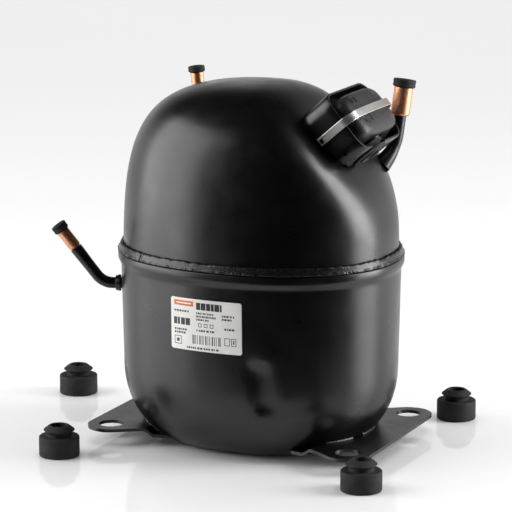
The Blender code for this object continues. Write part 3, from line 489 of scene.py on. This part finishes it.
def make_feet():
    """Pressed plates with a round corner at each hole, stepped down where they meet the belly."""
    corner = arc((HOLE_X, HOLE_Y), FOOT_CORNER, 0, 118, 28)
    side = [corner[-1], (FOOT_BEND, 65.0), (52.0, 60.5), (44.0, 52.0), (40, 30)]
    half = corner + soften(side, 4.0)[1:-1]
    outline = [(x, -y) for x, y in half[::-1]] + half
    holes = [arc((HOLE_X, end * HOLE_Y), HOLE_RADIUS, 0, 354, 59) for end in (-1, 1)]
    room = [belly_ring(radians(90 - 6 * i), -1.5 * GAP) for i in range(16)]
    for name, facing in (("foot_plate_right", 1), ("foot_plate_left", -1)):
        bm = filled([tuple(p) for p in outline], holes, FOOT_THICKNESS)
        for i in range(9):
            parts = list(bm.verts) + list(bm.edges) + list(bm.faces)
            at = FOOT_BEND - i * FOOT_BEND_LENGTH / 8
            bmesh.ops.bisect_plane(bm, geom=parts, plane_co=(at, 0, 0), plane_no=(1, 0, 0))
        for vert in bm.verts:
            vert.co.z -= FOOT_STEP * ease((FOOT_BEND - vert.co.x) / FOOT_BEND_LENGTH)
        bmesh.ops.triangulate(bm, faces=bm.faces)
        turn = Matrix.Rotation(0 if facing > 0 else pi, 4, "Z")
        place = Matrix.Translation((0, 0, FOOT_UNDERSIDE + FOOT_THICKNESS / 2)) @ turn
        rows = [[(0, 0, room[0][2])]] + [section(*ring, sides=120) for ring in room]
        belly = skin(rows + [[(0, 0, BELLY_RISE)]])
        node = "foot_bracket_right" if facing > 0 else "foot_bracket_left"
        placed(name, carved(bm, [belly], place), "black_enamel", "housing", (node,),
               sharp=30, bevel=0.45)


def make_foot_welds():
    """Short weld runs that hold each plate to the rim of the belly."""
    height = FOOT_UNDERSIDE + FOOT_THICKNESS
    half_x, half_y, _ = belly_ring(next(a for a in (radians(90 - i * 0.5) for i in range(180))
                                        if BELLY_RISE * (1 - sin(a)) > height))
    for name, middle in (("foot_weld_right", 0.0), ("foot_weld_left", pi)):
        for part, (start, stop) in enumerate(((-38, -16), (-8, 8), (16, 38)), 1):
            path, radii = [], []
            for i in range(41):
                angle = middle + radians(start + (stop - start) * i / 40)
                x, y = plan(half_x, half_y, angle)
                path.append(Vector((x, y, height + 0.5)))
                radii.append((1.3 + 0.15 * sin(i * 2.1)) * ease(min(i, 40 - i) / 3 + 0.25))
            placed(f"{name}_{part}", swept(path, radii, 14), "black_enamel", "housing",
                   sharp=60)


def make_rubber_mounts():
    corners = [(6.2, 24), (7.7, 24), (12, 20.6), (12, 20.0), (9.5, 18.8), (9.5, 15.5), (15.0, 15.5),
               (15.7, 14.8), (15.7, 0.6), (15.1, 0), (6.2, 0)]
    for number, (x, y) in enumerate(MOUNT_PLACES, 1):
        profile = [tuple(p) for p in soften([Vector(c) for c in corners], 0.7, closed=True)]
        placed(f"rubber_mount_piece_{number}", turned(profile, 72, closed=True), "rubber",
               f"rubber_mount_{number}", (f"mount_grommet_{number}",),
               Matrix.Translation((x, y, 0)), sharp=50)


# ---------------------------------------------------------------- tubes, copper ends and caps

SUCTION_PATH = [Vector(p) for p in ((84.5, 40.5, 217), (91.8, 51.0, 230.5), (93.9, 54.4, 254.5))]
DISCHARGE_FOOT = Vector((-71.4, 40.0, 255.0))
DISCHARGE_WAY = Vector((-0.09, -0.03, 1.0)).normalized()
PROCESS_ROOT = Vector((-101.0, -27.5, 120.0))
PROCESS_WAY = Vector((-0.91, -0.415, 0.0)).normalized()
PROCESS_RISE = (PROCESS_WAY * 0.602 + Vector((0, 0, 0.799))).normalized()
SUCTION_RADIUS, SUCTION_FLARE, SUCTION_BEND = 5.1, 2.2, 34
DISCHARGE_RADIUS, DISCHARGE_LENGTH = 4.2, 11.0
PROCESS_RADIUS, PROCESS_FLARE, PROCESS_BEND = 4.5, 0.4, 16
PROCESS_REACH, PROCESS_LENGTH, FERRULE_REACH = 21.0, 35.2, 6.8
# Copper end: outer and inner radius, length; rubber cap: radius, height
SUCTION_END = (7.5, 6.3, 22.0, 8.9, 6.2)
DISCHARGE_END = (5.25, 4.25, 14.0, 6.7, 4.6)
PROCESS_END = (5.0, 3.9, 17.0, 6.3, 6.0)


def make_tube_end(name, seat, way, sizes):
    """Copper end with the rubber cap that plugs it."""
    outer, inner, length, cap_radius, cap_height = sizes
    where = aimed(seat, way)
    corners = [(inner, 2.5), (inner, length), (outer, length), (outer - 0.1, length - 3), (outer, 1.4),
               (outer - 1.2, 0)]
    profile = [(0, 2.5)] + [tuple(p) for p in soften([Vector(c) for c in corners], 0.45)] + [(0, 0)]
    placed(f"{name}_copper_end", turned(profile, 56), "copper", "housing", (f"{name}_stub",),
           where, sharp=50)
    plug, brim = inner - GAP, length + GAP
    top = brim + cap_height
    corners = [(cap_radius * 0.3, top - 1.2), (cap_radius * 0.6, top - 1.2), (cap_radius * 0.68, top),
               (cap_radius - 0.6, top), (cap_radius, top - 0.8),
               (cap_radius - 0.2, brim + cap_height * 0.5), (cap_radius, brim + 0.7),
               (cap_radius - 0.6, brim), (plug, brim), (plug, length - 4.0)]
    profile = [(0, top - 1.2)] + [tuple(p) for p in soften([Vector(c) for c in corners], 0.5)]
    placed(f"{name}_rubber_cap", turned(profile + [(0, length - 4.0)], 56), "rubber", f"{name}_plug",
           (f"{name}_cap",), where, sharp=50)


def make_tubes():
    path = filleted(SUCTION_PATH, SUCTION_BEND)
    radii = [SUCTION_RADIUS + SUCTION_FLARE * ease(1 - (point - path[0]).length / 20.0) for point in path]
    placed("suction_tube_bend", swept(path, radii), "black_enamel", "housing",
           ("suction_tube",), sharp=50)
    way = (SUCTION_PATH[2] - SUCTION_PATH[1]).normalized()
    make_tube_end("suction", SUCTION_PATH[2] + way * GAP, way, SUCTION_END)
    neck = DISCHARGE_FOOT + DISCHARGE_WAY * DISCHARGE_LENGTH
    path = [DISCHARGE_FOOT, DISCHARGE_FOOT.lerp(neck, 0.5), neck]
    placed("discharge_tube_neck", swept(path, [DISCHARGE_RADIUS] * 3), "black_enamel", "housing",
           ("discharge_tube",), sharp=50)
    make_tube_end("discharge", neck + DISCHARGE_WAY * GAP, DISCHARGE_WAY, DISCHARGE_END)
    elbow = PROCESS_ROOT + PROCESS_WAY * PROCESS_REACH
    end = elbow + PROCESS_RISE * PROCESS_LENGTH
    bend = filleted([PROCESS_ROOT - PROCESS_WAY * 3, elbow, end], PROCESS_BEND)
    path = bend[:-1] + [bend[-2].lerp(bend[-1], k / 6) for k in range(1, 7)]
    radii = [PROCESS_RADIUS + PROCESS_FLARE * ease(1 - (end - point).length / 22.0) for point in path]
    placed("process_tube_bend", swept(path, radii), "black_enamel", "housing",
           ("process_tube",), sharp=50)
    make_tube_end("process", end + PROCESS_RISE * GAP, PROCESS_RISE, PROCESS_END)
    corners = [(4.8, 4.4), (5.7, 4.4), (6.6, 1.2), (6.6, 0), (4.8, 0)]
    profile = [tuple(p) for p in soften([Vector(c) for c in corners], 0.4, closed=True)]
    where = aimed(PROCESS_ROOT + PROCESS_WAY * FERRULE_REACH, PROCESS_WAY)
    placed("process_ferrule_ring", turned(profile, 48, closed=True), "black_enamel", "housing",
           ("process_ferrule",), where, sharp=50)


# ---------------------------------------------------------------- terminal box

def rounded_box(half_x, half_y, corner, z, per_corner=14, per_side=12):
    """Loop of a rectangle with round corners."""
    loop = []
    for number, (sx, sy) in enumerate(((1, 1), (-1, 1), (-1, -1), (1, -1))):
        centre = (sx * (half_x - corner), sy * (half_y - corner))
        turn = arc(centre, corner, 90 * number, 90 * number + 90, per_corner)
        if loop:
            before = loop[-1]
            away_x, away_y = turn[0][0] - before.x, turn[0][1] - before.y
            loop += [Vector((before.x + away_x * k / per_side, before.y + away_y * k / per_side, z))
                     for k in range(1, per_side)]
        loop += [Vector((x, y, z)) for x, y in turn]
    first, before = loop[0], loop[-1]
    loop += [before.lerp(first, k / per_side) for k in range(1, per_side)]
    return loop


def fence_front(u):
    """Distance of the fence's front wall from the seat's middle, at u down the slope."""
    past = max(abs(u) - (FENCE_HALF[0] - FENCE_CORNER), 0.0)
    return FENCE_HALF[1] - FENCE_CORNER + (FENCE_CORNER**2 - past**2) ** 0.5


def make_fence():
    """Sheet wall round the terminal, cut away for the grommet, its lower edge lifted at one corner."""
    x, y = FENCE_HALF
    top, wall = FENCE_HEIGHT, FENCE_WALL
    levels = [(0.6, GAP), (0.2, GAP + 0.15), (0.0, GAP + 0.6), (0.0, 4.0), (0.0, 12.0), (0.0, 20.0),
              (0.0, top - 0.6), (0.25, top - 0.15), (0.6, top), (wall - 0.6, top),
              (wall - 0.25, top - 0.15), (wall, top - 0.6), (wall, 12.0), (wall, GAP)]
    rows = [rounded_box(x - inset, y - inset, FENCE_CORNER - inset, z) for inset, z in levels]
    for row in rows:
        for point in row:
            if point.z < GAP + 1.0:
                point.z += 3.4 * ease((point.x - 6) / 8) * ease((-22 - point.y) / 8)
    notch = turned([(0, 18), (NOTCH_RADIUS, 18), (NOTCH_RADIUS, 40), (0, 40)], 64)
    place = Matrix.Translation((0, GLAND_SIDE, GLAND_HEIGHT)) @ Matrix.Rotation(pi / 2, 4, "Y")
    bmesh.ops.transform(notch, verts=notch.verts, matrix=place)
    mouth = block((18, GLAND_SIDE - NOTCH_RADIUS, GLAND_HEIGHT), (40, GLAND_SIDE + NOTCH_RADIUS, 40))
    hole = turned([(0, 30), (1.7, 30), (1.7, 50), (0, 50)], 24)
    place = Matrix.Translation((18.3, 0, 11.3)) @ Matrix.Rotation(pi / 2, 4, "X")
    bmesh.ops.transform(hole, verts=hole.verts, matrix=place)
    placed("terminal_fence_ring", carved(skin(rows, wrap=True), [notch, mouth, hole]), "black_enamel",
           "housing", ("terminal_fence",), SEAT, sharp=35)
    ring = []
    for radius, height in ((3.5, 0.2), (3.9, 0.2), (4.1, -0.4), (3.3, -0.4)):
        loop = []
        for i in range(48):
            u = 13.6 + radius * cos(2 * pi * i / 48)
            loop.append((u, -fence_front(u) - height, 20.2 + radius * sin(2 * pi * i / 48)))
        ring.append(loop)
    placed("terminal_fence_mark", skin(ring, wrap=True), "black_enamel", "housing", (),
           SEAT, sharp=50)


def crown(u, v):
    """Height of the cover's top above the seat."""
    share = ((abs(u) / CROWN_HALF[0]) ** COVER_EXPONENT
             + (abs(v) / CROWN_HALF[1]) ** COVER_EXPONENT) ** (1 / COVER_EXPONENT)
    for (low, high_z), (high, low_z) in zip(CROWN, CROWN[1:]):
        if share <= high:
            return high_z + (low_z - high_z) * (share - low) / (high - low)
    return CROWN[-1][1]


def make_cover():
    """Crowned moulding with a drafted skirt, a round spout and four raised plain marks."""
    x, y = COVER_HALF
    rows = [[(0, 0, CROWN[0][1])]]
    rings = [(CROWN_HALF[0] * share, CROWN_HALF[1] * share, z) for share, z in CROWN[1:]]
    rings += [(x - 2.2, y - 1.6, 22.0), (x, y, 15.4), (x - 0.4, y - 0.4, 15.0)]
    rings += [(x - 2, y - 2, 15.0), (x - 6, y - 5, 27), (x - 9.5, y - 8, 32.0)]
    rows += [section(*ring, 140, COVER_EXPONENT) for ring in rings] + [[(0, 0, 34.2)]]
    room = block((19, GLAND_SIDE - GLAND_ROOM, 8), (30, GLAND_SIDE + GLAND_ROOM, 30.4))
    placed("terminal_cover_lid", carved(skin(rows), [room]), "moulded_plastic", "cover",
           ("terminal_cover",), SEAT, sharp=32)
    r = SPOUT_RADIUS
    corners = [(r, SPOUT_INNER_END), (r, 18.6), (r - 1.1, 18.9), (r - 1.1, 20.9), (r - 2.4, 20.9),
               (r - 2.8, 20.2)]
    profile = [(0, SPOUT_INNER_END)] + [tuple(p) for p in soften([Vector(c) for c in corners], 0.4)]
    profile.append((0, 20.2))
    where = SEAT @ Matrix.Translation((0, 0, SPOUT_HEIGHT)) @ Matrix.Rotation(pi / 2, 4, "Y")
    placed("terminal_cover_spout", turned(profile, 56), "moulded_plastic", "cover", (),
           where, sharp=45)
    square = [(-3.2, -3.2), (3.2, -3.2), (3.2, 3.2), (-3.2, 3.2), (-3.2, -3.2)]
    marks = (((-11.5, -20), square), ((7, -16), [(-4, 3), (2.5, 3), (2.5, -4)]),
             ((7, -26), arc((0, 0), 3.4, 60, 240, 14)), ((-2, -19), [(-1.5, 0), (1.5, 0)]))
    for number, ((cu, cv), outline) in enumerate(marks, 1):
        line = [Vector((cu + u, cv + v, 0)) for u, v in outline]
        path = []
        for start, end in zip(line, line[1:]):
            path += [start.lerp(end, k / 4) for k in range(4)]
        path = [Vector((p.x, p.y, crown(p.x, p.y))) for p in path + [line[-1]]]
        placed(f"terminal_cover_mark_{number}", swept(path, [0.45] * len(path), 10), "moulded_plastic",
               "cover", (), SEAT, sharp=60)


def make_clip():
    """Strap hooked on the fence, bowed over the cover, with a small window and a turned-up tab."""
    corners = [(-40.6, 1.2), (-40.6, 27.4), (-39.0, 30.8), (-36.2, 34.0), (-32, 36.4), (-22, 37.4),
               (0, 37.9), (22, 37.4), (32, 36.4), (36.4, 34.2), (40.2, 30.8), (41.8, 27.2),
               (43.4, 25.8), (45.2, 27.0)]
    path = soften([Vector(c) for c in corners], 2.0, steps=5)
    half, width = 0.4, 3.2
    ring = [(-width, -0.6), (-width + 0.25, -1), (width - 0.25, -1), (width, -0.6), (width, 0.6),
            (width - 0.25, 1), (-width + 0.25, 1), (-width, 0.6)]
    rows = []
    for i, at in enumerate(path):
        along = (path[min(i + 1, len(path) - 1)] - path[max(i - 1, 0)]).normalized()
        out = Vector((-along.y, along.x))
        rows.append([Vector((u, at.x + out.x * half * t, at.y + out.y * half * t)) for u, t in ring])
    strap = skin([[sum(rows[0], Vector()) / 8]] + rows + [[sum(rows[-1], Vector()) / 8]])
    window = block((-1.7, -43, 2.4), (1.7, -38, 5.4))
    placed("cover_clip_strap", carved(strap, [window]), "spring_steel", "clip",
           ("cover_clip",), SEAT, sharp=32)


def make_gland():
    """Round rubber seal held in the fence's notch by a flange on each side."""
    inside = -FENCE_WALL - 2 * GAP
    corners = [(3.8, 2.2), (7.2, 2.2), (7.6, 3.2), (9.2, 3.2), (9.5, 2.2), (14.2, 1.8), (14.8, 1.2),
               (14.8, GAP), (12, GAP), (12, inside), (14.4, inside), (14.4, -4.2)]
    inner = [(0, 2.0), (2.2, 2.0), (2.6, 2.6), (3.4, 2.6)]
    profile = [tuple(p) for p in soften([Vector(c) for c in inner + corners], 0.3)] + [(0, -4.2)]
    middle = Matrix.Translation((FENCE_HALF[0], GLAND_SIDE, GLAND_HEIGHT))
    placed("cable_grommet_seal", turned(profile, 72), "rubber", "housing", ("cable_grommet",),
           SEAT @ middle @ Matrix.Rotation(pi / 2, 4, "Y"), sharp=50)


# ---------------------------------------------------------------- label

LABEL_LEFT, LABEL_WIDTH, LABEL_LOW, LABEL_HIGH = -35.0, 60.0, 88.0, 128.5
LABEL_CORNER, LABEL_STANDOFF, LABEL_FILM = 2.0, 0.75, 0.25
CELL = 0.5                      # one printed dot
PAPER, INK, COLOUR = 0, 1, 2


def print_blocks(draw, left, top, right, height, ink=INK):
    """Solid blocks that stand for a line of print and cannot be read as characters."""
    blocks, at = [], left
    while at + 1.0 <= right:
        wide = min(draw.choice((1.0, 1.5, 2.0)) * max(1.0, height / 3), right - at)
        blocks.append((at, top, at + wide, top + height, ink))
        at += wide + CELL * draw.choice((1, 1, 1, 2))
    return blocks


def label_print():
    """Rectangles of print, (left, top, right, bottom, ink), from the label's top left corner."""
    draw = Random(5)
    marks = [(3.0, 2.0, 20.0, 6.0, COLOUR), (5.0, 3.5, 18.0, 4.5, PAPER)]
    marks += print_blocks(draw, 22.5, 2.5, 45.0, 5.5)
    marks += print_blocks(draw, 2.5, 15.5, 17.5, 5.5)
    for left, top, right in ((22.5, 10.0, 37.0), (22.5, 12.5, 39.0), (22.5, 15.0, 34.0), (44.0, 10.5, 54.0),
                             (44.0, 13.0, 52.0), (3.0, 9.5, 16.0), (3.0, 24.0, 15.0), (3.0, 26.5, 13.0),
                             (22.5, 23.5, 38.0), (46.0, 20.5, 54.0), (14.0, 37.5, 42.0)):
        marks += print_blocks(draw, left, top, right, 1.5)
    for left in (24.0, 29.0, 34.0):
        marks += [(left, 18.5, left + 3.0, 21.5, INK), (left + 0.5, 19.0, left + 2.5, 21.0, PAPER)]
    at = 19.0
    while at < 44.0:
        marks.append((at, 28.0, at + draw.choice((0.5, 0.5, 1.0)), 35.0, INK))
        at += draw.choice((1.0, 1.5, 2.0))
    marks += [(3.0, 30.0, 9.5, 36.5, INK), (3.5, 30.5, 9.0, 36.0, PAPER), (5.0, 32.0, 7.5, 34.5, INK)]
    marks += [(46.0, 28.0, 50.5, 34.0, INK), (46.5, 28.5, 50.0, 33.5, PAPER), (51.5, 28.0, 55.5, 34.0, INK),
              (52.0, 28.5, 55.0, 33.5, PAPER), (53.0, 29.5, 54.0, 32.5, INK)]
    return marks


def make_label():
    """Film wrapped on the wall, printed dot by dot, with round corners and a thin raised edge."""
    columns, lines = round(LABEL_WIDTH / CELL), round((LABEL_HIGH - LABEL_LOW) / CELL)
    marks = label_print()
    bm = bmesh.new()
    grid = []
    for j in range(lines + 1):
        z = LABEL_HIGH - j * CELL
        half_x, half_y, _ = wall_ring(z)
        row = []
        for i in range(columns + 1):
            x = LABEL_LEFT + i * CELL
            y = -half_y * (1 - (abs(x) / half_x) ** PLAN_EXPONENT) ** (1 / PLAN_EXPONENT)
            row.append(bm.verts.new((x, y - LABEL_STANDOFF, z)))
        grid.append(row)
    corner = LABEL_CORNER
    for j in range(lines):
        for i in range(columns):
            across, down = (i + 0.5) * CELL, (j + 0.5) * CELL
            beside = max(corner - across, across - (LABEL_WIDTH - corner), 0)
            above = max(corner - down, down - (LABEL_HIGH - LABEL_LOW - corner), 0)
            if hypot(beside, above) > corner:
                continue
            face = bm.faces.new((grid[j][i], grid[j + 1][i], grid[j + 1][i + 1], grid[j][i + 1]))
            for left, top, right, bottom, ink in marks:
                if left <= across <= right and top <= down <= bottom:
                    face.material_index = ink
    loose = [v for v in bm.verts if not v.link_faces]
    bmesh.ops.delete(bm, geom=loose, context="VERTS")
    label = placed("rating_label_film", bm, ("label_paper", "label_dark", "label_orange"), "housing",
                   ("rating_label",), sharp=60)
    film = label.modifiers.new("film", "SOLIDIFY")
    film.thickness, film.offset = LABEL_FILM * MM, -1.0


# ---------------------------------------------------------------- the CAD pieces that stay

def finish_cad_nodes():
    """Gives each remaining CAD piece its finish and softens its edges."""
    slots = {part["node"]: part["material_slot"] for part in frame["record"]["subparts"]}
    plain = {"suspension_spring", "discharge_loop"}
    for name, thing in NODES.items():
        slot = slots.get(name)
        if slot not in FINISH or thing.hide_render:
            continue
        for each in thing.material_slots:
            each.material = FINISH[slot]
        if not any(name.startswith(p) for p in plain):
            edges = thing.modifiers.new("edges", "BEVEL")
            edges.width, edges.segments = 0.3 * MM, 2
            edges.limit_method, edges.angle_limit = "ANGLE", radians(50)


# ---------------------------------------------------------------- studio

CAMERA_BACK, CAMERA_RIGHT = Vector((0.4056, -0.8887, 0.2135)), Vector((0.9097, 0.4152, 0.0))
LENS, SENSOR_WIDTH, CAMERA_PLACE = 210.9, 36.0, (0.9477, -2.0856, 0.6458)
FLOOR_FRONT = 0.225             # the white floor ends this far in front of the origin, in metres
BACKDROP = 0.92                 # brightness of the backdrop as the camera sees it


def make_camera():
    data = bpy.data.cameras.new("photo_view")
    data.lens, data.sensor_width, data.clip_end = LENS, SENSOR_WIDTH, 50.0
    camera = bpy.data.objects.new("photo_view", data)
    bpy.context.scene.collection.objects.link(camera)
    up = CAMERA_BACK.cross(CAMERA_RIGHT)
    turn = Matrix((CAMERA_RIGHT, up, CAMERA_BACK)).transposed().to_4x4()
    camera.matrix_world = Matrix.Translation(CAMERA_PLACE) @ turn
    bpy.context.scene.camera = camera


def softbox(name, place, target, width, height, radiance):
    """Area light of an even radiance, turned to a target."""
    data = bpy.data.lights.new(name, "AREA")
    data.shape, data.size, data.size_y = "RECTANGLE", width, height
    data.energy = radiance * pi * width * height
    light = bpy.data.objects.new(name, data)
    bpy.context.scene.collection.objects.link(light)
    light.location = place
    light.visible_camera = False
    light.rotation_euler = (Vector(target) - Vector(place)).to_track_quat("-Z", "Y").to_euler()
    return light


def make_studio():
    """Glossy pale floor, a soft box at each side and one overhead."""
    bm = bmesh.new()
    bmesh.ops.create_circle(bm, cap_ends=True, segments=96, radius=7.0)
    front = Vector((CAMERA_BACK.x, CAMERA_BACK.y, 0)).normalized()
    parts = list(bm.verts) + list(bm.edges) + list(bm.faces)
    bmesh.ops.bisect_plane(bm, geom=parts, plane_co=front * FLOOR_FRONT, plane_no=front, clear_outer=True)
    mesh = bpy.data.meshes.new("floor")
    bm.to_mesh(mesh)
    bm.free()
    floor = bpy.data.objects.new("floor", mesh)
    floor.location.z = -0.00005
    bpy.context.scene.collection.objects.link(floor)
    gloss = finish("floor_gloss", (0.80, 0.80, 0.80), (0.81, 0.81, 0.81), (0.03, 0.045), cloud=3,
                   grain=300, relief=0.000001, specular=0.55)
    mesh.materials.append(gloss)
    make_world()
    bpy.context.scene.view_settings.view_transform = "Standard"
    right = CAMERA_RIGHT
    middle = Vector((0, 0, 0.15))
    softbox("left_box", middle - right * 1.5 + front * 0.12 + Vector((0, 0, 0.35)), middle,
            width=1.5, height=1.9, radiance=4.4)
    softbox("right_box", middle + right * 1.5 + front * 0.1 + Vector((0, 0, 0.25)), middle,
            width=0.8, height=1.9, radiance=10.0)
    behind = middle - front * 1.9
    high = softbox("high_box", behind + Vector((0, 0, 3.0)), behind, width=6.0, height=6.0,
                   radiance=1.55)
    high.visible_glossy = False


def make_world():
    """White room behind the object and a dark one in front of it; the backdrop itself is pale."""
    world = bpy.data.worlds.new("studio")
    world.use_nodes = True
    tree = world.node_tree
    sky = tree.nodes["Background"]
    sky.inputs["Color"].default_value = (1, 1, 1, 1)
    place = tree.nodes.new("ShaderNodeTexCoord")
    share = None
    for direction, low, high in ((CAMERA_BACK, -0.25, 0.35), (Vector((0, 0, 1)), 0.12, 0.5)):
        facing = tree.nodes.new("ShaderNodeVectorMath")
        facing.operation = "DOT_PRODUCT"
        facing.inputs[1].default_value = direction
        tree.links.new(place.outputs["Generated"], facing.inputs[0])
        fade = tree.nodes.new("ShaderNodeMapRange")
        fade.inputs["From Min"].default_value, fade.inputs["From Max"].default_value = low, high
        fade.inputs["To Min"].default_value, fade.inputs["To Max"].default_value = 1.0, 0.02
        tree.links.new(facing.outputs["Value"], fade.inputs["Value"])
        if share is None:
            share = fade.outputs["Result"]
            continue
        both = tree.nodes.new("ShaderNodeMath")
        both.operation = "MULTIPLY"
        tree.links.new(share, both.inputs[0])
        tree.links.new(fade.outputs["Result"], both.inputs[1])
        share = both.outputs["Value"]
    seen = tree.nodes.new("ShaderNodeLightPath")
    choose = tree.nodes.new("ShaderNodeMix")
    choose.inputs["B"].default_value = BACKDROP
    tree.links.new(seen.outputs["Is Camera Ray"], choose.inputs["Factor"])
    tree.links.new(share, choose.inputs["A"])
    tree.links.new(choose.outputs["Result"], sky.inputs["Strength"])
    bpy.context.scene.world = world


make_lower_shell()
make_upper_shell()
make_girth_weld()
make_feet()
make_foot_welds()
make_rubber_mounts()
make_tubes()
make_fence()
make_cover()
make_clip()
make_gland()
make_label()
finish_cad_nodes()
make_camera()
make_studio()

bpy.context.view_layer.update()
